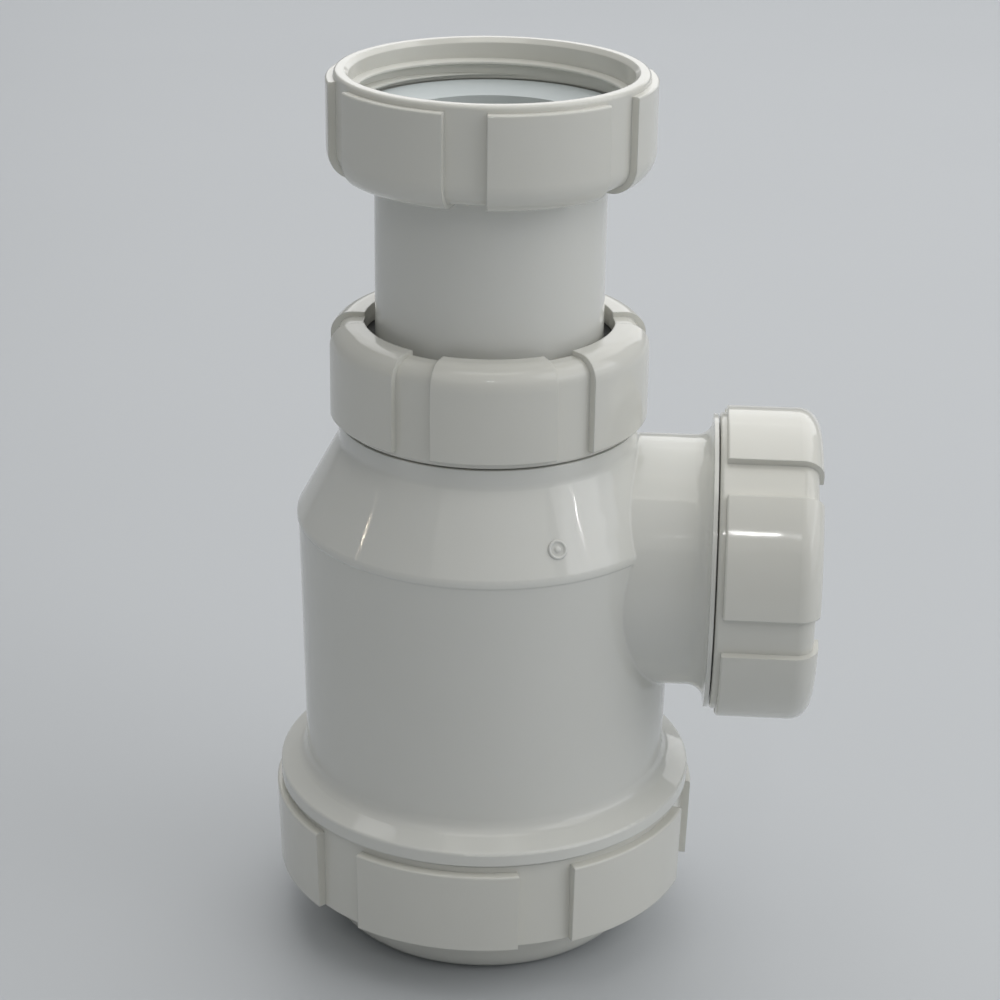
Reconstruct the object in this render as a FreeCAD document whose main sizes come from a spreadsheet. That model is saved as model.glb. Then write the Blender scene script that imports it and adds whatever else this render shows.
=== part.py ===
import FreeCAD, Part
import math
import os

import Sketcher

# Bottle trap for a 1 1/2 inch basin waste and a 40 mm waste pipe.
# Origin at the centre of the foot, +Z up along the bottle, +X along the side outlet.
# Lengths are in millimetres and turns in degrees.

doc = FreeCAD.newDocument("bottle_trap")
sheet = doc.addObject("Spreadsheet::Sheet", "sizes")

driving_sizes = [
    # Telescopic tube and what slides on it
    ("tube_radius", 20.0, "outside of the tube and of the waste pipe"),
    ("tube_wall", 1.9, "wall of the tube"),
    ("tube_length", 94.0, "tube below its flange"),
    ("tube_exposed", 25.9, "tube seen between the two nuts"),
    ("tube_lead", 0.8, "chamfer at the tube's lower end"),
    ("tube_flange", 3.2, "thickness of the tube's top flange"),
    ("guide_clearance", 0.45, "radial gap between the tube and its guide"),
    ("swivel_clearance", 0.35, "radial gap between the tube and the inlet nut"),
    ("seat_gap", 0.1, "gap between flat seats"),
    # Screw fittings shared by the neck, the outlet and the inlet
    ("spigot_wall", 2.0, "wall of a threaded end under its thread"),
    ("thread_depth", 1.48, "height of the thread"),
    ("thread_slack", 0.2, "radial play between two threads"),
    ("nut_wall", 2.6, "wall of a nut over its thread"),
    ("nut_length", 18.0, "open rim to closed end"),
    ("nut_round", 4.0, "round of the pads at the closed end"),
    ("inlet_round", 5.0, "round of the inlet nut's pads at its closed end"),
    ("round_step", 1.1, "round of the pads beyond that of the nut between them"),
    ("nut_lip", 3.4, "thickness of the closed end"),
    ("nut_hole_gap", 2.0, "radial gap between the tube and the closed end"),
    ("mouth_chamfer", 0.8, "chamfer at the open rim's bore"),
    ("relief_depth", 0.35, "undercut beyond the thread"),
    ("rim_gap", 0.25, "gap between a nut's open rim and the collar it faces"),
    ("rim_round", 0.7, "round outside a nut's open rim"),
    ("inlet_lip", 4.4, "thickness of the inlet nut's closed end"),
    ("inlet_flange_gap", 0.8, "radial gap between the tube's flange and the nut"),
    ("washer_thickness", 3.1, "inlet washer at its edge"),
    ("washer_inset", 1.1, "washer inside the tube's bore"),
    ("washer_dish", 1.35, "fall of the washer's face towards its hole"),
    # Grip pads
    ("pad_count", 6, "pads round each nut and the cup"),
    ("pad_angle", 45.0, "width of a pad"),
    ("pad_rise", 1.35, "height of a pad"),
    ("pad_end_rise", 0.85, "height of a pad on the closed end"),
    ("pad_setback", 1.2, "plain rim between the pads and the open end"),
    ("pad_edge", 0.25, "chamfer of a pad at the open end"),
    ("inlet_pad_turn", 25.0, "turn of the inlet nut's pads"),
    ("neck_pad_turn", 6.0, "turn of the compression nut's pads"),
    ("outlet_pad_turn", -25.0, "turn of the outlet nut's pads"),
    ("cap_pad_turn", -9.0, "turn of the cup's pads"),
    # Tapered seals
    ("seal_flange", 2.0, "thickness of a seal's head"),
    ("seal_taper", 3.0, "length of a seal's taper"),
    ("seal_head_gap", 0.7, "radial gap between a seal's head and its nut"),
    ("seal_clearance", 0.3, "gap between a seal's taper and its seat"),
    ("seal_grip", 0.05, "radial gap between the neck seal and the tube"),
    ("pipe_grip", 0.25, "radial gap between the outlet seal and the pipe"),
    ("seat_mouth", 1.55, "widening of a spigot's bore at its seat"),
    ("seat_depth", 4.0, "depth of a spigot's tapered seat"),
    # Base cup
    ("foot_inset", 4.48, "cup's bore to the foot's wall"),
    ("foot_round", 5.0, "round from the underside to the foot's wall"),
    ("foot_draft", 0.6, "widening of the foot's wall"),
    ("foot_height", 10.9, "foot below the grip pads"),
    ("cap_floor", 2.4, "wall of the foot"),
    ("cap_wall", 2.4, "wall of the cup over its thread"),
    ("cap_length", 27.3, "underside to open rim"),
    ("base_gap", 0.6, "gap between the cup's rim and the base flange"),
    ("cap_draft", 0.4, "widening of the cup's pads towards the open rim"),
    ("foot_inner_round", 3.0, "round inside the foot"),
    # Base seal
    ("base_seal_height", 2.5, "thickness of the base ring"),
    ("base_seal_inset", 0.7, "base ring inside the edge of its ledge"),
    # Bottle
    ("bottle_wall", 2.3, "wall of the body"),
    ("base_spigot_radius", 33.0, "threaded foot under its thread"),
    ("flange_overlap", 0.95, "base flange beyond the cup's wall"),
    ("flange_edge", 2.4, "height of the base flange at its edge"),
    ("flange_round", 0.6, "round of that edge"),
    ("flange_slope", 2.2, "rise of the base flange to the wall"),
    ("flange_fillet", 2.6, "fillet between flange and wall"),
    ("wall_step", 0.1, "body over the flange, beyond the threaded foot"),
    ("wall_draft", 0.85, "widening of the body up to the shoulder"),
    ("wall_height", 51.1, "flange to the shoulder's crease"),
    ("crown_overhang", 0.25, "shoulder beyond the wall"),
    ("crown_step", 0.4, "height of that overhang's slope"),
    ("crown_edge", 1.3, "crease to the corner of edge and cone"),
    ("crown_round", 1.8, "round between the shoulder's edge and its cone"),
    ("shoulder_height", 15.4, "crease to the foot of the collar"),
    ("collar_inset", 0.23, "collars on neck and branch inside their nuts' wall"),
    ("collar_height", 3.2, "neck collar"),
    ("collar_fillet", 2.0, "fillet between cone and collar"),
    ("dip_inset", 1.4, "lower rim of the body to the dip tube's end"),
    ("ceiling_drop", 2.0, "water space below the collar's foot"),
    # Side branch
    ("branch_drop", 0.5, "foot of the neck collar down to the top of the branch"),
    ("branch_wall", 2.15, "wall of the branch"),
    ("branch_stand", 6.9, "body's wall to the branch collar's face"),
    ("branch_collar", 0.8, "thickness of the branch collar"),
    ("branch_flare", 3.0, "fillet from the branch to its collar"),
    ("seam_round", 0.5, "fillet where the branch leaves the body"),
    ("stop_depth", 3.1, "end of the socket inside the body's wall"),
    ("stop_ledge", 1.85, "step that the pipe's end meets"),
]


class Length:
    """A size as a number together with the expression that gives it."""

    def __init__(self, value, text):
        self.value = value
        self.text = text

    def __add__(self, other):
        other = as_length(other)
        return Length(self.value + other.value, "(%s + %s)" % (self.text, other.text))

    def __sub__(self, other):
        other = as_length(other)
        return Length(self.value - other.value, "(%s - %s)" % (self.text, other.text))

    def half(self):
        return Length(self.value / 2, "(%s / 2)" % self.text)


def as_length(amount):
    if isinstance(amount, Length):
        return amount
    return Length(float(amount), str(float(amount)))


class Sizes:
    """The sheet's cells as lengths, by name."""


def fill_sheet():
    sizes = Sizes()
    for row, (name, value, note) in enumerate(driving_sizes, start=1):
        sheet.set("A%d" % row, name)
        sheet.set("B%d" % row, str(value))
        sheet.set("C%d" % row, note)
        sheet.setAlias("B%d" % row, name)
        setattr(sizes, name, Length(float(value), "sizes.%s" % name))
    doc.recompute()
    return sizes


size = fill_sheet()
axis = as_length(0)

# Radii that several pieces share
guide_radius = size.tube_radius + size.guide_clearance
tube_bore = size.tube_radius - size.tube_wall
spigot_radius = guide_radius + size.spigot_wall
nut_bore = spigot_radius + size.thread_depth + size.thread_slack
nut_radius = nut_bore + size.nut_wall
branch_radius = guide_radius + size.branch_wall
cap_bore = size.base_spigot_radius + size.thread_depth + size.thread_slack
cap_radius = cap_bore + size.cap_wall
flange_radius = cap_radius + size.flange_overlap
foot_top_radius = cap_bore - size.foot_inset
foot_wall_radius = foot_top_radius - size.foot_draft
ledge_radius = foot_top_radius - size.cap_floor
collar_radius = nut_radius - size.collar_inset
wall_low_radius = size.base_spigot_radius + size.wall_step
wall_top_radius = wall_low_radius + size.wall_draft
crown_radius = wall_top_radius + size.crown_overhang
branch_reach = wall_top_radius + size.branch_stand
pipe_stop = wall_low_radius - size.stop_depth

# Heights, from the foot upwards
ledge_height = size.foot_height + size.cap_floor
base_seal_foot = ledge_height + size.seat_gap
base_rim_height = base_seal_foot + size.base_seal_height + size.seat_gap
flange_height = size.cap_length + size.base_gap
flange_shoulder = flange_height + size.flange_edge
wall_foot = flange_shoulder + size.flange_slope
crease_height = flange_height + size.wall_height
collar_foot = crease_height + size.shoulder_height
collar_top = collar_foot + size.collar_height
outlet_height = collar_foot - size.branch_drop - branch_radius
dip_end = base_rim_height + size.dip_inset
ceiling_height = collar_foot - size.ceiling_drop

# The compression and outlet nuts stand off their collars, and each seal lies under its nut's closed end
seal_top = size.nut_length - size.nut_lip - size.seat_gap
seal_shoulder = seal_top - size.seal_flange
seal_tip = seal_shoulder - size.seal_taper
spigot_length = size.rim_gap + seal_shoulder - size.seat_gap
neck_top = collar_top + spigot_length
branch_end = branch_reach + spigot_length
neck_nut_height = collar_top + size.rim_gap
outlet_nut_reach = branch_reach + size.rim_gap

# The inlet nut hangs open end up over the exposed tube
inlet_nut_foot = neck_nut_height + size.nut_length + size.tube_exposed
inlet_nut_top = inlet_nut_foot + size.nut_length
tube_shoulder = inlet_nut_foot + size.inlet_lip + size.seat_gap
tube_top = tube_shoulder + size.tube_flange
washer_top = tube_top + size.washer_thickness
inlet_stack = size.seat_gap + size.tube_flange + size.washer_thickness


def origin_feature(body, role):
    for feature in body.Origin.OriginFeatures:
        if feature.Role == role:
            return feature
    raise RuntimeError("no %s in %s" % (role, body.Label))


def new_body(label):
    body = doc.addObject("PartDesign::Body", label)
    body.Label = label
    return body


def place(body, x, z, rotation):
    body.Placement = FreeCAD.Placement(FreeCAD.Vector(x.value, 0, z.value), rotation)
    body.setExpression("Placement.Base.x", x.text)
    body.setExpression("Placement.Base.z", z.text)


def fix_point(sketch, geometry, end, across, up):
    """Hold a point of the sketch at two bound distances from its axes."""
    for kind, distance, line in (("DistanceX", across, -2), ("DistanceY", up, -1)):
        if distance.value == 0:
            sketch.addConstraint(Sketcher.Constraint("PointOnObject", geometry, end, line))
        else:
            index = sketch.addConstraint(Sketcher.Constraint(kind, geometry, end, distance.value))
            sketch.setExpression("Constraints[%d]" % index, distance.text)


def corner_arc(before, corner, after, radius):
    """Arc that rounds a corner: the points it starts and ends at, its centre and its turning sense."""
    back = (before - corner).normalize()
    ahead = (after - corner).normalize()
    half = back.getAngle(ahead) / 2
    reach = radius / math.tan(half)
    centre = corner + (back + ahead).normalize() * (radius / math.sin(half))
    turns_left = back.cross(ahead).z < 0
    return corner + back * reach, corner + ahead * reach, centre, turns_left


def draw_outline(sketch, corners):
    """Closed outline through corners (across, up) or, for a rounded one, (across, up, radius)."""
    count = len(corners)
    spots = [FreeCAD.Vector(corner[0].value, corner[1].value, 0) for corner in corners]
    entries = list(spots)
    exits = list(spots)
    arcs = {}
    for i in range(count):
        if len(corners[i]) == 3:
            radius = corners[i][2].value
            arcs[i] = corner_arc(spots[i - 1], spots[i], spots[(i + 1) % count], radius)
            entries[i] = arcs[i][0]
            exits[i] = arcs[i][1]
    lines = []
    for i in range(count):
        lines.append(sketch.addGeometry(Part.LineSegment(exits[i], entries[(i + 1) % count])))
    for i in range(count):
        before = lines[i - 1]
        after = lines[i]
        across, up = corners[i][:2]
        if i not in arcs:
            sketch.addConstraint(Sketcher.Constraint("Coincident", before, 2, after, 1))
            fix_point(sketch, after, 1, across, up)
            continue
        entry, leave, centre, turns_left = arcs[i]
        first, last = (entry, leave) if turns_left else (leave, entry)
        start_angle = math.atan2(first.y - centre.y, first.x - centre.x)
        end_angle = math.atan2(last.y - centre.y, last.x - centre.x)
        if end_angle < start_angle:
            end_angle += 2 * math.pi
        circle = Part.Circle(centre, FreeCAD.Vector(0, 0, 1), corners[i][2].value)
        arc = sketch.addGeometry(Part.ArcOfCircle(circle, start_angle, end_angle))
        entry_end, leave_end = (1, 2) if turns_left else (2, 1)
        point = sketch.addGeometry(Part.Point(spots[i]), True)
        sketch.addConstraint(Sketcher.Constraint("Tangent", before, 2, arc, entry_end))
        sketch.addConstraint(Sketcher.Constraint("Tangent", arc, leave_end, after, 1))
        sketch.addConstraint(Sketcher.Constraint("PointOnObject", point, 1, before))
        sketch.addConstraint(Sketcher.Constraint("PointOnObject", point, 1, after))
        fix_point(sketch, point, 1, across, up)
        index = sketch.addConstraint(Sketcher.Constraint("Radius", arc, corners[i][2].value))
        sketch.setExpression("Constraints[%d]" % index, corners[i][2].text)


def turned(body, name, corners, cut=False, about="V_Axis", raised=None, turn=None):
    """Revolve an outline drawn upright in XZ, as a solid or a cut, through a full turn or part of one."""
    sketch = body.newObject("Sketcher::SketchObject", name + "_outline")
    sketch.AttachmentSupport = [(origin_feature(body, "XZ_Plane"), "")]
    sketch.MapMode = "FlatFace"
    if raised is not None:
        sketch.AttachmentOffset = FreeCAD.Placement(FreeCAD.Vector(0, raised.value, 0), FreeCAD.Rotation())
        sketch.setExpression("AttachmentOffset.Base.y", raised.text)
    draw_outline(sketch, corners)
    feature = body.newObject("PartDesign::Groove" if cut else "PartDesign::Revolution", name)
    feature.Profile = sketch
    feature.ReferenceAxis = (sketch, [about])
    feature.Angle = 360.0
    if turn is not None:
        feature.Midplane = True
        feature.setExpression("Angle", turn.text)
    body.Tip = feature
    return feature


def add_pads(body, outline):
    """Raise a grip pad over part of the turn and repeat it round the axis."""
    pad = turned(body, body.Label + "_pad", outline, turn=size.pad_angle)
    ring = body.newObject("PartDesign::PolarPattern", body.Label + "_pads")
    ring.Originals = [pad]
    ring.Axis = (origin_feature(body, "Z_Axis"), [""])
    ring.Angle = 360.0
    ring.setExpression("Occurrences", size.pad_count.text)
    body.Tip = ring


def make_nut(label, lip, hole, relief_length, pad_round):
    """Nut with its open rim at the origin and its closed end along +Z."""
    body = new_body(label)
    shell_end = size.nut_length - size.pad_end_rise
    lip_face = size.nut_length - lip
    relief_end = lip_face - relief_length
    relief_radius = nut_bore + size.relief_depth
    turned(body, label + "_shell", [
        (nut_bore + size.mouth_chamfer, axis),
        (nut_radius, axis, size.rim_round),
        (nut_radius, shell_end, pad_round - size.round_step),
        (hole, shell_end),
        (hole, lip_face),
        (relief_radius, lip_face),
        (relief_radius, relief_end),
        (nut_bore, relief_end),
        (nut_bore, size.mouth_chamfer),
    ])
    pad_radius = nut_radius + size.pad_rise
    root_radius = nut_bore + size.nut_wall.half()
    root_height = size.nut_length - lip.half()
    add_pads(body, [
        (root_radius, size.pad_setback),
        (pad_radius - size.pad_edge, size.pad_setback),
        (pad_radius, size.pad_setback + size.pad_edge),
        (pad_radius, size.nut_length, pad_round),
        (hole, size.nut_length),
        (hole, root_height),
        (root_radius, root_height),
    ])
    return body


def make_seal(label, bore):
    """Tapered ring, placed as its nut is, with the head against the nut's closed end."""
    body = new_body(label)
    head_radius = nut_bore - size.seal_head_gap
    seat_radius = guide_radius + size.seat_mouth
    shoulder_radius = seat_radius - size.seal_clearance
    tip_radius = guide_radius + size.seal_clearance.half()
    turned(body, label + "_ring", [
        (bore, seal_tip),
        (tip_radius, seal_tip),
        (shoulder_radius, seal_shoulder),
        (head_radius, seal_shoulder),
        (head_radius, seal_top),
        (bore, seal_top),
    ])
    return body


def make_washer():
    """Washer on the tube's flange, its face dished towards the hole."""
    body = new_body("inlet_washer")
    hole = tube_bore - size.washer_inset
    edge = nut_bore - size.inlet_flange_gap
    turned(body, "washer_ring", [
        (hole, tube_top),
        (edge, tube_top),
        (edge, washer_top),
        (hole, washer_top - size.washer_dish),
    ])
    return body


def make_base_seal():
    body = new_body("base_seal")
    inner = ledge_radius + size.base_seal_inset
    outer = cap_bore - size.base_seal_inset
    top = base_seal_foot + size.base_seal_height
    turned(body, "base_ring", [(inner, base_seal_foot), (outer, base_seal_foot), (outer, top), (inner, top)])
    return body


def make_tube():
    body = new_body("telescopic_tube")
    lower_end = tube_shoulder - size.tube_length
    flange_radius = nut_bore - size.inlet_flange_gap
    turned(body, "tube_wall_form", [
        (tube_bore, lower_end),
        (size.tube_radius - size.tube_lead, lower_end),
        (size.tube_radius, lower_end + size.tube_lead),
        (size.tube_radius, tube_shoulder),
        (flange_radius, tube_shoulder),
        (flange_radius, tube_top),
        (tube_bore, tube_top),
    ])
    return body


def make_cap():
    body = new_body("base_cap")
    turned(body, "cap_shell", [
        (axis, axis),
        (foot_wall_radius, axis, size.foot_round),
        (foot_top_radius, size.foot_height),
        (cap_radius, size.foot_height),
        (cap_radius, size.cap_length),
        (cap_bore + size.mouth_chamfer, size.cap_length),
        (cap_bore, size.cap_length - size.mouth_chamfer),
        (cap_bore, ledge_height),
        (ledge_radius, ledge_height),
        (foot_wall_radius - size.cap_floor, size.cap_floor, size.foot_inner_round),
        (axis, size.cap_floor),
    ])
    pad_radius = cap_radius + size.pad_rise
    pad_top = size.cap_length - size.pad_setback
    root_radius = cap_bore + size.cap_wall.half()
    add_pads(body, [
        (root_radius, size.foot_height),
        (pad_radius, size.foot_height),
        (pad_radius + size.cap_draft, pad_top - size.pad_edge),
        (pad_radius + size.cap_draft - size.pad_edge, pad_top),
        (root_radius, pad_top),
    ])
    return body


def seam_edges(shape):
    """Edges where the branch meets the body: at the branch's radius, but not square to its axis."""
    samples = 7
    nearness = 0.02
    least_span = 0.05
    names = []
    for number, edge in enumerate(shape.Edges, start=1):
        points = edge.discretize(samples)
        off_axis = [math.hypot(p.y, p.z - outlet_height.value) for p in points]
        on_wall = max(abs(distance - branch_radius.value) for distance in off_axis) < nearness
        run = max(p.x for p in points) - min(p.x for p in points)
        rise = max(p.z for p in points) - min(p.z for p in points)
        if on_wall and min(run, rise) > least_span:
            names.append("Edge%d" % number)
    return names


def make_bottle():
    body = new_body("bottle")
    turned(body, "body_form", [
        (axis, base_rim_height),
        (size.base_spigot_radius, base_rim_height),
        (size.base_spigot_radius, flange_height),
        (flange_radius, flange_height),
        (flange_radius, flange_shoulder, size.flange_round),
        (wall_low_radius, wall_foot, size.flange_fillet),
        (wall_top_radius, crease_height),
        (crown_radius, crease_height + size.crown_step),
        (crown_radius, crease_height + size.crown_edge, size.crown_round),
        (collar_radius, collar_foot, size.collar_fillet),
        (collar_radius, collar_top),
        (spigot_radius, collar_top),
        (spigot_radius, neck_top),
        (axis, neck_top),
    ])
    collar_back = branch_reach - size.branch_collar
    branch = turned(body, "branch_form", [
        (axis, axis),
        (axis, branch_radius),
        (collar_back, branch_radius, size.branch_flare),
        (collar_back, collar_radius),
        (branch_reach, collar_radius),
        (branch_reach, spigot_radius),
        (branch_end, spigot_radius),
        (branch_end, axis),
    ], about="H_Axis", raised=outlet_height)
    doc.recompute()
    seam = body.newObject("PartDesign::Fillet", "branch_seam")
    seam.Base = (branch, seam_edges(branch.Shape))
    seam.setExpression("Radius", size.seam_round.text)
    body.Tip = seam
    clear = size.bottle_wall
    below = base_rim_height - clear
    crown_inner = crown_radius - size.bottle_wall
    turned(body, "water_space", [
        (spigot_radius, below),
        (size.base_spigot_radius - size.bottle_wall, below),
        (wall_low_radius - size.bottle_wall, wall_foot),
        (wall_top_radius - size.bottle_wall, crease_height),
        (crown_inner, crease_height + size.crown_step),
        (collar_radius - size.bottle_wall, ceiling_height),
        (spigot_radius, ceiling_height),
    ], cut=True)
    above = neck_top + clear
    seat_radius = guide_radius + size.seat_mouth
    turned(body, "guide_bore", [
        (axis, below),
        (spigot_radius + clear, below),
        (spigot_radius + clear, dip_end),
        (guide_radius, dip_end),
        (guide_radius, neck_top - size.seat_depth),
        (seat_radius, neck_top),
        (seat_radius, above),
        (axis, above),
    ], cut=True)
    socket_start = spigot_radius + size.guide_clearance
    passage_radius = guide_radius - size.stop_ledge
    beyond = branch_end + clear
    turned(body, "socket_bore", [
        (socket_start, axis),
        (socket_start, passage_radius),
        (pipe_stop, passage_radius),
        (pipe_stop, guide_radius),
        (branch_end - size.seat_depth, guide_radius),
        (branch_end, seat_radius),
        (beyond, seat_radius),
        (beyond, axis),
    ], cut=True, about="H_Axis", raised=outlet_height)
    return body


upright = FreeCAD.Vector(0, 0, 1)
# Pads are counted from the front, which faces -Y
front = -90.0


def pad_turn(alias):
    return FreeCAD.Rotation(upright, front + getattr(size, alias).value)


neck_nut_hole = size.tube_radius + size.nut_hole_gap
swivel_hole = size.tube_radius + size.swivel_clearance
end_up = FreeCAD.Rotation()
end_down = FreeCAD.Rotation(FreeCAD.Vector(1, 0, 0), 180)
end_outwards = FreeCAD.Rotation(FreeCAD.Vector(0, 1, 0), 90)

bottle = make_bottle()
telescopic_tube = make_tube()
inlet_nut = make_nut("inlet_nut", size.inlet_lip, swivel_hole, inlet_stack, size.inlet_round)
inlet_washer = make_washer()
compression_nut = make_nut("compression_nut", size.nut_lip, neck_nut_hole, size.seal_flange, size.nut_round)
neck_seal = make_seal("neck_seal", size.tube_radius + size.seal_grip)
outlet_nut = make_nut("outlet_nut", size.nut_lip, neck_nut_hole, size.seal_flange, size.nut_round)
outlet_seal = make_seal("outlet_seal", size.tube_radius + size.pipe_grip)
base_cap = make_cap()
base_seal = make_base_seal()

place(inlet_nut, axis, inlet_nut_top, pad_turn("inlet_pad_turn") * end_down)
place(compression_nut, axis, neck_nut_height, pad_turn("neck_pad_turn"))
place(neck_seal, axis, neck_nut_height, end_up)
place(outlet_nut, outlet_nut_reach, outlet_height, end_outwards * pad_turn("outlet_pad_turn"))
place(outlet_seal, outlet_nut_reach, outlet_height, end_outwards)
place(base_cap, axis, axis, pad_turn("cap_pad_turn"))

nodes = [
    bottle,
    telescopic_tube,
    inlet_nut,
    inlet_washer,
    compression_nut,
    neck_seal,
    outlet_nut,
    outlet_seal,
    base_cap,
    base_seal,
]

doc.recompute()
for item in doc.Objects:
    if "Invalid" in item.State or "Error" in item.State:
        raise RuntimeError("%s did not build: %s" % (item.Name, item.State))
for node in nodes:
    shape = node.Shape
    if shape.isNull() or not shape.isValid() or len(shape.Solids) != 1:
        raise RuntimeError("%s has no sound solid" % node.Label)

os.makedirs("parts", exist_ok=True)
for node in nodes:
    node.Shape.exportStep(os.path.join("parts", node.Label + ".step"))
    box = node.Shape.BoundBox
    print("%-16s %8.0f mm3  x %.1f..%.1f  z %.1f..%.1f"
          % (node.Label, node.Shape.Volume, box.XMin, box.XMax, box.ZMin, box.ZMax))
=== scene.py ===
import math

import bmesh
import bpy
from mathutils import Matrix, Vector


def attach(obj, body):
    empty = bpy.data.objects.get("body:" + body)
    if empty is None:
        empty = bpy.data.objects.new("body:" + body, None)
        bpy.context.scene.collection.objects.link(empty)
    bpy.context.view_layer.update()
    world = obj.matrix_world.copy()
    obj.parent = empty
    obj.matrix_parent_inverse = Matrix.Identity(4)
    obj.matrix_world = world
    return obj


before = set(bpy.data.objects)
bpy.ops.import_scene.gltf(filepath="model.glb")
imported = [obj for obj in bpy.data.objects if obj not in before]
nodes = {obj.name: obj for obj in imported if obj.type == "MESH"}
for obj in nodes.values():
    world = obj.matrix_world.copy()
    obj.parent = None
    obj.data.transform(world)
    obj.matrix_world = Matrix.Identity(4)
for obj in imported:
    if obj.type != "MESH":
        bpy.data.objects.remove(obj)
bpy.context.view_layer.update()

mm = 0.001  # the frame is in metres
print("frame loaded:", len(nodes), "nodes")


def linearColour(hexText):
    parts = [int(hexText[i:i + 2], 16) / 255 for i in (1, 3, 5)]
    return [p / 12.92 if p <= 0.04045 else ((p + 0.055) / 1.055) ** 2.4 for p in parts] + [1.0]


def addNode(tree, kind, inputs=None, **settings):
    node = tree.nodes.new(kind)
    for name, value in settings.items():
        setattr(node, name, value)
    for socket, value in (inputs or {}).items():
        if isinstance(value, bpy.types.NodeSocket):
            tree.links.new(value, node.inputs[socket])
        else:
            node.inputs[socket].default_value = value
    return node


noiseSpread = (0.3, 0.7)  # most values of a noise texture lie between these


def startMaterial(name):
    material = bpy.data.materials.new(name)
    material.use_nodes = True
    tree = material.node_tree
    tree.nodes.clear()
    place = addNode(tree, "ShaderNodeTexCoord").outputs["Object"]
    return material, tree, place


def addNoise(tree, place, size, detail, roughness=0.5):
    noise = addNode(tree, "ShaderNodeTexNoise", {
        "Vector": place, "Scale": 1 / (size * mm), "Detail": detail, "Roughness": roughness})
    return noise.outputs["Fac"]


def addColours(tree, share, first, second):
    mix = addNode(tree, "ShaderNodeMix", {
        "Factor": share, "A": linearColour(first), "B": linearColour(second)}, data_type="RGBA")
    return mix.outputs["Result"]


def addShine(tree, share, roughness):
    shine = addNode(tree, "ShaderNodeMapRange", {
        "Value": share, "From Min": noiseSpread[0], "From Max": noiseSpread[1],
        "To Min": roughness[0], "To Max": roughness[1]})
    return shine.outputs["Result"]


def addBump(tree, height, depth, under=None):
    inputs = {"Height": height, "Distance": depth * mm, "Strength": 1.0}
    if under is not None:
        inputs["Normal"] = under
    return addNode(tree, "ShaderNodeBump", inputs).outputs["Normal"]


def addShader(tree, inputs):
    shader = addNode(tree, "ShaderNodeBsdfPrincipled", inputs)
    addNode(tree, "ShaderNodeOutputMaterial", {"Surface": shader.outputs["BSDF"]})


# Polypropylene, injection moulded: waxy white with a clear gloss, slightly milky, faint flow clouds and a skin
# that is not quite flat, which makes reflections waver
glossyMoulding = {
    "name": "polypropyleneGlossMoulded",
    "pale": "#E3E3DE",
    "cloud": "#DFDFD9",
    "cloudSize": 34.0,       # mm, flow clouds from the gate
    "skinSize": 6.0,         # mm between ripples of the skin
    "skinDepth": 0.06,       # mm
    "grainSize": 0.55,       # mm, fine pits, drawn coarser than the real ones so that they show
    "grainDepth": 0.0006,    # mm
    "roughness": (0.05, 0.07),
    "milk": 0.12,
    "edgeRound": 0.25,       # mm, moulded edges are never sharp
}
# The nuts come from a textured mould, so the same plastic is warmer and more satin there. Their thick walls sink
# a little as they cool, so the ripples are wider and deeper.
satinMoulding = {
    "name": "polypropyleneSatinMoulded",
    "pale": "#E2E1DA",
    "cloud": "#DEDDD5",
    "cloudSize": 26.0,
    "skinSize": 9.0,
    "skinDepth": 0.14,
    "grainSize": 0.45,
    "grainDepth": 0.0012,
    "roughness": (0.09, 0.12),
    "milk": 0.10,
    "edgeRound": 0.35,
}
polypropyleneIor = 1.49
milkReach = (1.6, 1.5, 1.3)  # mm that red, green and blue light goes under the skin


def makePolypropylene(finish):
    material, tree, place = startMaterial(finish["name"])
    clouds = addNoise(tree, place, finish["cloudSize"], 3.0, 0.55)
    skin = addNoise(tree, place, finish["skinSize"], 1.0)
    grain = addNoise(tree, place, finish["grainSize"], 2.0)
    rounded = addNode(tree, "ShaderNodeBevel", {"Radius": finish["edgeRound"] * mm}, samples=6)
    wavy = addBump(tree, skin, finish["skinDepth"], rounded.outputs["Normal"])
    addShader(tree, {
        "Base Color": addColours(tree, clouds, finish["pale"], finish["cloud"]),
        "Roughness": addShine(tree, clouds, finish["roughness"]),
        "Normal": addBump(tree, grain, finish["grainDepth"], wavy),
        "IOR": polypropyleneIor,
        "Subsurface Weight": finish["milk"],
        "Subsurface Radius": milkReach,
        "Subsurface Scale": mm,
    })
    return material


# Vulcanised rubber: soft matt skin with a fine bloom. The inlet washer is a pale blue-grey compound, the other
# seals are black. Sizes in mm.
paleRubber = {
    "name": "rubberPaleMoulded",
    "skin": "#CED6D8",
    "bloom": "#D8DEDF",
    "bloomSize": 3.0,
    "grainSize": 0.4,
    "grainDepth": 0.004,
    "roughness": (0.5, 0.62),
}
blackRubber = {
    "name": "rubberBlackMoulded",
    "skin": "#1B1B1C",
    "bloom": "#2C2C2C",
    "bloomSize": 2.5,
    "grainSize": 0.4,
    "grainDepth": 0.006,
    "roughness": (0.55, 0.7),
}
rubberIor = 1.52


def makeRubber(finish):
    material, tree, place = startMaterial(finish["name"])
    bloom = addNoise(tree, place, finish["bloomSize"], 3.0)
    grain = addNoise(tree, place, finish["grainSize"], 2.0)
    addShader(tree, {
        "Base Color": addColours(tree, bloom, finish["skin"], finish["bloom"]),
        "Roughness": addShine(tree, bloom, finish["roughness"]),
        "Normal": addBump(tree, grain, finish["grainDepth"]),
        "IOR": rubberIor,
    })
    return material


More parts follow.
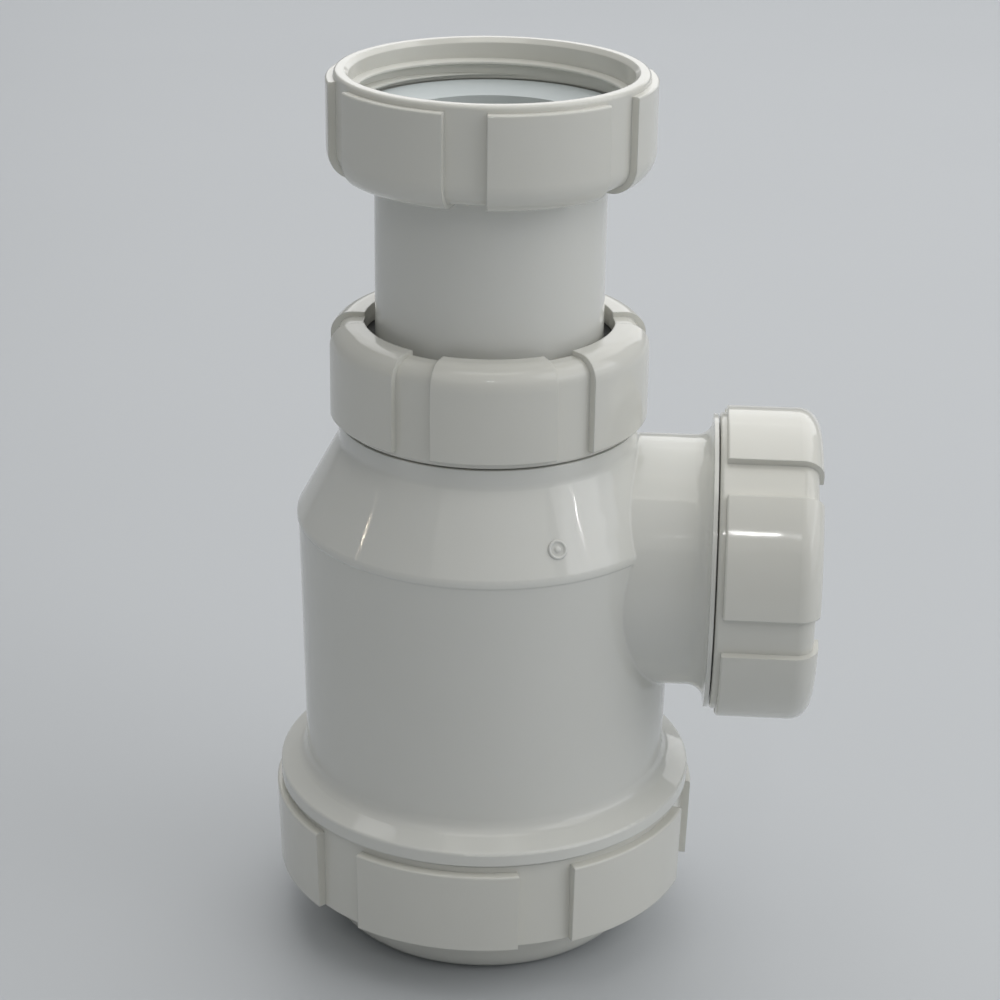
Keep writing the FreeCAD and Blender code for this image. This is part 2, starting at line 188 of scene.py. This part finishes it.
glossPlastic = makePolypropylene(glossyMoulding)
satinPlastic = makePolypropylene(satinMoulding)
washerRubber = makeRubber(paleRubber)
sealRubber = makeRubber(blackRubber)
finishOf = {
    "bottle": glossPlastic, "telescopic_tube": glossPlastic,
    "inlet_nut": satinPlastic, "compression_nut": satinPlastic, "outlet_nut": satinPlastic,
    "base_cap": satinPlastic,
    "inlet_washer": washerRubber,
    "neck_seal": sealRubber, "outlet_seal": sealRubber, "base_seal": sealRubber,
}
for name, material in finishOf.items():
    for slot in nodes[name].material_slots:
        slot.material = material
print("materials:", len(bpy.data.materials))


def addPiece(name, mesh, body):
    piece = bpy.data.objects.new(name, mesh)
    bpy.context.scene.collection.objects.link(piece)
    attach(piece, body)
    return piece


# Screw threads, 11 to the inch, right-handed. Each is a helical ridge that stands on its wall: outwards on the
# bottle's spigots, inwards in the nuts. Shift is a part of the pitch: the nuts' ridges lie half a pitch from the
# bottle's, so that they pass between each other. The inlet nut's shift follows the photograph. Sizes in mm.
threadForm = {
    "pitch": 25.4 / 11,
    "height": 1.4,
    "footWidth": 1.35,
    "crestWidth": 0.45,
    "crestRound": 0.16,
    "sink": 0.12,            # foot of the ridge inside its wall
    "steps": 96,             # per turn
    "fadeTurns": 0.22,       # of a turn, over which each end runs out
}
outletHeight = 71.3
threads = [
    {"name": "neckThread", "body": "bottle", "slot": "bottle_plastic", "wall": 22.45, "outwards": True,
     "ends": (99.4, 109.6), "along": "Z", "shift": 0.0},
    {"name": "branchThread", "body": "bottle", "slot": "bottle_plastic", "wall": 22.45, "outwards": True,
     "ends": (42.5, 52.7), "along": "X", "shift": 0.0},
    {"name": "baseThread", "body": "bottle", "slot": "bottle_plastic", "wall": 33.0, "outwards": True,
     "ends": (17.2, 25.6), "along": "Z", "shift": 0.0},
    {"name": "inletNutThread", "body": "inlet_nut", "slot": "nut_plastic", "wall": 24.13, "outwards": False,
     "ends": (153.2, 157.3), "along": "Z", "shift": 0.14},
    {"name": "compressionNutThread", "body": "compression_nut", "slot": "nut_plastic", "wall": 24.13,
     "outwards": False, "ends": (99.6, 110.0), "along": "Z", "shift": 0.5},
    {"name": "outletNutThread", "body": "outlet_nut", "slot": "nut_plastic", "wall": 24.13, "outwards": False,
     "ends": (42.7, 53.1), "along": "X", "shift": 0.5},
    {"name": "baseCapThread", "body": "base_cap", "slot": "nut_plastic", "wall": 34.68, "outwards": False,
     "ends": (16.6, 25.9), "along": "Z", "shift": 0.5},
]


def makeThreadTree():
    tree = bpy.data.node_groups.new("helicalThread", "GeometryNodeTree")
    face = tree.interface
    face.new_socket("Geometry", in_out="INPUT", socket_type="NodeSocketGeometry")
    for name in ("Radius", "Height", "Foot Width", "Crest Width", "Crest Round", "Pitch", "Turns", "Fade Turns",
                 "Ridge Turn"):
        face.new_socket(name, in_out="INPUT", socket_type="NodeSocketFloat")
    face.new_socket("Steps", in_out="INPUT", socket_type="NodeSocketInt")
    face.new_socket("Material", in_out="INPUT", socket_type="NodeSocketMaterial")
    face.new_socket("Geometry", in_out="OUTPUT", socket_type="NodeSocketGeometry")
    given = addNode(tree, "NodeGroupInput").outputs
    rise = addNode(tree, "ShaderNodeMath", {0: given["Pitch"], 1: given["Turns"]}, operation="MULTIPLY")
    helix = addNode(tree, "GeometryNodeCurveSpiral", {
        "Resolution": given["Steps"], "Rotations": given["Turns"], "Start Radius": given["Radius"],
        "End Radius": given["Radius"], "Height": rise.outputs[0], "Reverse": True})
    upright = addNode(tree, "GeometryNodeSetCurveNormal", {"Curve": helix.outputs["Curve"]}, mode="Z_UP")
    ridge = addNode(tree, "GeometryNodeCurvePrimitiveQuadrilateral", {
        "Bottom Width": given["Foot Width"], "Top Width": given["Crest Width"], "Height": given["Height"],
        "Offset": 0.0}, mode="TRAPEZOID")
    soft = addNode(tree, "GeometryNodeFilletCurve", {
        "Curve": ridge.outputs["Curve"], "Radius": given["Crest Round"], "Count": 2}, mode="POLY")
    lift = addNode(tree, "ShaderNodeMath", {0: given["Height"], 1: 2.0}, operation="DIVIDE")
    liftVector = addNode(tree, "ShaderNodeCombineXYZ", {"Y": lift.outputs[0]})
    stood = addNode(tree, "GeometryNodeTransform", {
        "Geometry": soft.outputs["Curve"], "Translation": liftVector.outputs[0]})
    turnVector = addNode(tree, "ShaderNodeCombineXYZ", {"Z": given["Ridge Turn"]})
    aimed = addNode(tree, "GeometryNodeTransform", {
        "Geometry": stood.outputs["Geometry"], "Rotation": turnVector.outputs[0]})
    along = addNode(tree, "GeometryNodeSplineParameter").outputs["Factor"]
    back = addNode(tree, "ShaderNodeMath", {0: 1.0, 1: along}, operation="SUBTRACT")
    nearest = addNode(tree, "ShaderNodeMath", {0: along, 1: back.outputs[0]}, operation="MINIMUM")
    turnsIn = addNode(tree, "ShaderNodeMath", {0: nearest.outputs[0], 1: given["Turns"]}, operation="MULTIPLY")
    fade = addNode(tree, "ShaderNodeMapRange", {
        "Value": turnsIn.outputs[0], "From Min": 0.0, "From Max": given["Fade Turns"],
        "To Min": 0.05, "To Max": 1.0})
    swept = addNode(tree, "GeometryNodeCurveToMesh", {
        "Curve": upright.outputs["Curve"], "Profile Curve": aimed.outputs["Geometry"],
        "Scale": fade.outputs["Result"], "Fill Caps": True})
    smooth = addNode(tree, "GeometryNodeSetShadeSmooth", {"Geometry": swept.outputs["Mesh"]})
    real = addNode(tree, "GeometryNodeRealizeInstances", {"Geometry": smooth.outputs["Geometry"]})
    painted = addNode(tree, "GeometryNodeSetMaterial", {
        "Geometry": real.outputs["Geometry"], "Material": given["Material"]})
    addNode(tree, "NodeGroupOutput", {"Geometry": painted.outputs["Geometry"]})
    return tree


def runTree(tree, values):
    holder = bpy.data.objects.new("treeHolder", bpy.data.meshes.new("treeHolder"))
    bpy.context.scene.collection.objects.link(holder)
    modifier = holder.modifiers.new("tree", "NODES")
    modifier.node_group = tree
    for item in tree.interface.items_tree:
        if item.in_out == "INPUT" and item.name in values:
            modifier[item.identifier] = values[item.name]
    seen = holder.evaluated_get(bpy.context.evaluated_depsgraph_get())
    mesh = bpy.data.meshes.new_from_object(seen)
    holder.modifiers.remove(modifier)
    bpy.data.objects.remove(holder)
    return mesh


def makeThread(tree, thread):
    form = threadForm
    side = 1 if thread["outwards"] else -1
    low, high = thread["ends"]
    mesh = runTree(tree, {
        "Radius": (thread["wall"] - side * form["sink"]) * mm,
        "Height": (form["height"] + form["sink"]) * mm,
        "Foot Width": form["footWidth"] * mm,
        "Crest Width": form["crestWidth"] * mm,
        "Crest Round": form["crestRound"] * mm,
        "Pitch": form["pitch"] * mm,
        "Turns": (high - low) / form["pitch"],
        "Fade Turns": form["fadeTurns"],
        "Ridge Turn": math.radians(-90 * side),
        "Steps": form["steps"],
        "Material": satinPlastic if thread["slot"] == "nut_plastic" else glossPlastic,
    })
    mesh.name = thread["name"]
    phase = 2 * math.pi * (low / form["pitch"] - thread["shift"])
    mesh.transform(Matrix.Translation((0, 0, low * mm)) @ Matrix.Rotation(phase, 4, "Z"))
    if thread["along"] == "X":
        mesh.transform(Matrix.Translation((0, 0, outletHeight * mm)) @ Matrix.Rotation(math.pi / 2, 4, "Y"))
    skin = bmesh.new()
    skin.from_mesh(mesh)
    bmesh.ops.recalc_face_normals(skin, faces=skin.faces)
    skin.to_mesh(mesh)
    skin.free()
    addPiece(thread["name"], mesh, thread["body"])
    return len(mesh.polygons)


threadTree = makeThreadTree()
for thread in threads:
    print("thread:", thread["name"], makeThread(threadTree, thread), "faces")


# Injection gate on the shoulder: a small ring with a nib where the plastic entered. Sizes in mm and degrees.
gate = {
    "azimuth": -64.0,
    "height": 84.7,
    "cone": ((34.2, 80.3), (26.5, 94.4)),  # radius and height at the two ends of the shoulder
    "steps": 40,
    # Distance from the mark's centre and height above the shoulder, from the ring's outer foot to the nib's top
    "section": ((1.786, -0.15), (1.66, 0.18), (1.534, 0.3), (1.366, 0.3), (1.24, 0.18), (1.114, -0.1),
                (0.65, -0.1), (0.5, 0.245), (0.25, 0.35)),
}


def makeGate():
    (lowRadius, low), (highRadius, high) = gate["cone"]
    slope = (highRadius - lowRadius) / (high - low)
    radius = lowRadius + slope * (gate["height"] - low)
    turn = math.radians(gate["azimuth"])
    outward = Vector((math.cos(turn), math.sin(turn), 0))
    across = Vector((-math.sin(turn), math.cos(turn), 0))
    upSlope = (outward * slope + Vector((0, 0, 1))).normalized()
    normal = across.cross(upSlope)
    centre = outward * radius + Vector((0, 0, gate["height"]))
    skin = bmesh.new()
    rows = []
    for i in range(gate["steps"]):
        angle = 2 * math.pi * i / gate["steps"]
        ray = across * math.cos(angle) + upSlope * math.sin(angle)
        rows.append([skin.verts.new((centre + ray * r + normal * h) * mm) for r, h in gate["section"]])
    for i, row in enumerate(rows):
        following = rows[(i + 1) % len(rows)]
        for k in range(len(row) - 1):
            skin.faces.new((row[k], following[k], following[k + 1], row[k + 1]))
    skin.faces.new([row[-1] for row in rows])
    skin.faces.new([row[0] for row in reversed(rows)])
    bmesh.ops.recalc_face_normals(skin, faces=skin.faces)
    for f in skin.faces:
        f.smooth = True
    mesh = bpy.data.meshes.new("gateMark")
    skin.to_mesh(mesh)
    skin.free()
    mesh.materials.append(glossPlastic)
    return addPiece("gateMark", mesh, "bottle")


makeGate()
print("gate mark made")


# Pale painted board as the floor, matt with a trace of gloss
floorFinish = {
    "name": "boardPainted",
    "pale": "#C4C7CA",
    "cloud": "#C0C3C6",
    "cloudSize": 180.0,  # mm
    "roughness": 0.5,
    "half": 4.0,         # m
    "drop": 0.03,        # mm below the foot, so that the two faces don't lie in one plane
}


def makeFloor():
    material, tree, place = startMaterial(floorFinish["name"])
    clouds = addNoise(tree, place, floorFinish["cloudSize"], 2.0)
    addShader(tree, {
        "Base Color": addColours(tree, clouds, floorFinish["pale"], floorFinish["cloud"]),
        "Roughness": floorFinish["roughness"],
    })
    half, level = floorFinish["half"], -floorFinish["drop"] * mm
    corners = [(-half, -half, level), (half, -half, level), (half, half, level), (-half, half, level)]
    mesh = bpy.data.meshes.new("floorBoard")
    mesh.from_pydata(corners, [], [(0, 1, 2, 3)])
    mesh.materials.append(material)
    floor = bpy.data.objects.new("floorBoard", mesh)
    bpy.context.scene.collection.objects.link(floor)


makeFloor()

# Soft studio light: broad boxes, and small lamps for the glints. Places are in metres, and all face the middle.
lights = [
    # name, place, width, height, watts, colour
    ("frontTopBox", (0.133, -0.881, 1.409), 2.2, 1.5, 4.8, "#FFFDF6"),
    ("topBox", (0.005, 0.000, 1.680), 0.8, 0.8, 2.7, "#FFFDF6"),
    ("backTopBox", (0.133, 0.881, 1.409), 2.0, 1.2, 9.2, "#FFFFFF"),
    ("backBox", (0.165, 1.471, 0.688), 1.6, 0.8, 4.7, "#FFFFFF"),
    ("rightBox", (1.522, -0.240, 0.527), 1.5, 0.8, 3.2, "#F6F9FF"),
    ("rightTopBox", (1.208, -0.160, 1.123), 1.5, 1.2, 6.3, "#FFFFFF"),
    ("leftTopBox", (-0.720, -0.161, 1.497), 1.5, 1.5, 1.2, "#FFFFFF"),
    ("frontLamp", (0.100, -1.035, 1.050), 0.016, 0.012, 0.32, "#FFFFFF"),
    ("leftLamp", (-1.318, -0.250, 0.558), 0.008, 0.008, 0.05, "#FFF3DC"),
    ("rightLamp", (1.199, -0.464, 0.697), 0.009, 0.009, 0.06, "#FFFFFF"),
]
middle = Vector((0.005, 0, 0.08))
for name, place, width, height, watts, tint in lights:
    lamp = bpy.data.lights.new(name, "AREA")
    lamp.shape = "RECTANGLE"
    lamp.size = width
    lamp.size_y = height
    lamp.energy = watts
    lamp.color = linearColour(tint)[:3]
    holder = bpy.data.objects.new(name, lamp)
    bpy.context.scene.collection.objects.link(holder)
    holder.location = place
    holder.rotation_euler = (middle - holder.location).to_track_quat("-Z", "Y").to_euler()

ambient = {"tint": "#DDE1E6", "strength": 0.24}
world = bpy.data.worlds.new("studio")
bpy.context.scene.world = world
world.use_nodes = True
backdrop = world.node_tree.nodes["Background"].inputs
backdrop["Color"].default_value = linearColour(ambient["tint"])
backdrop["Strength"].default_value = ambient["strength"]
bpy.context.scene.view_settings.view_transform = "Standard"
print("floor and lights made")

# Camera as the photograph was taken: about 0.48 m away, looking 22.7 degrees down, the outlet turned 4 degrees
# towards it, and rolled a little. Reach, height, lens and sensor in mm, angles in degrees.
shot = {"reach": 406.4, "height": 251.4, "pitch": 22.71, "yaw": 0.32, "turn": 4.0, "roll": 0.8, "lens": 88.06,
        "sensor": 36}


def makeCamera():
    pitch, yaw, roll = (math.radians(shot[k]) for k in ("pitch", "yaw", "roll"))
    spin = Matrix.Rotation(math.radians(shot["turn"]), 3, "Z")
    forward = spin @ Vector((math.sin(yaw) * math.cos(pitch), math.cos(yaw) * math.cos(pitch), -math.sin(pitch)))
    right = spin @ Vector((math.cos(yaw), -math.sin(yaw), 0))
    up = right.cross(forward)
    rolledRight = right * math.cos(roll) + up * math.sin(roll)
    rolledUp = up * math.cos(roll) - right * math.sin(roll)
    lens = bpy.data.cameras.new("photoCamera")
    lens.sensor_width = shot["sensor"]
    lens.lens = shot["lens"]
    lens.clip_start = 0.01
    camera = bpy.data.objects.new("photoCamera", lens)
    bpy.context.scene.collection.objects.link(camera)
    axes = Matrix((rolledRight, rolledUp, -forward)).transposed().to_4x4()
    place = spin @ Vector((0, -shot["reach"], shot["height"])) * mm
    camera.matrix_world = Matrix.Translation(place) @ axes
    bpy.context.scene.camera = camera


makeCamera()
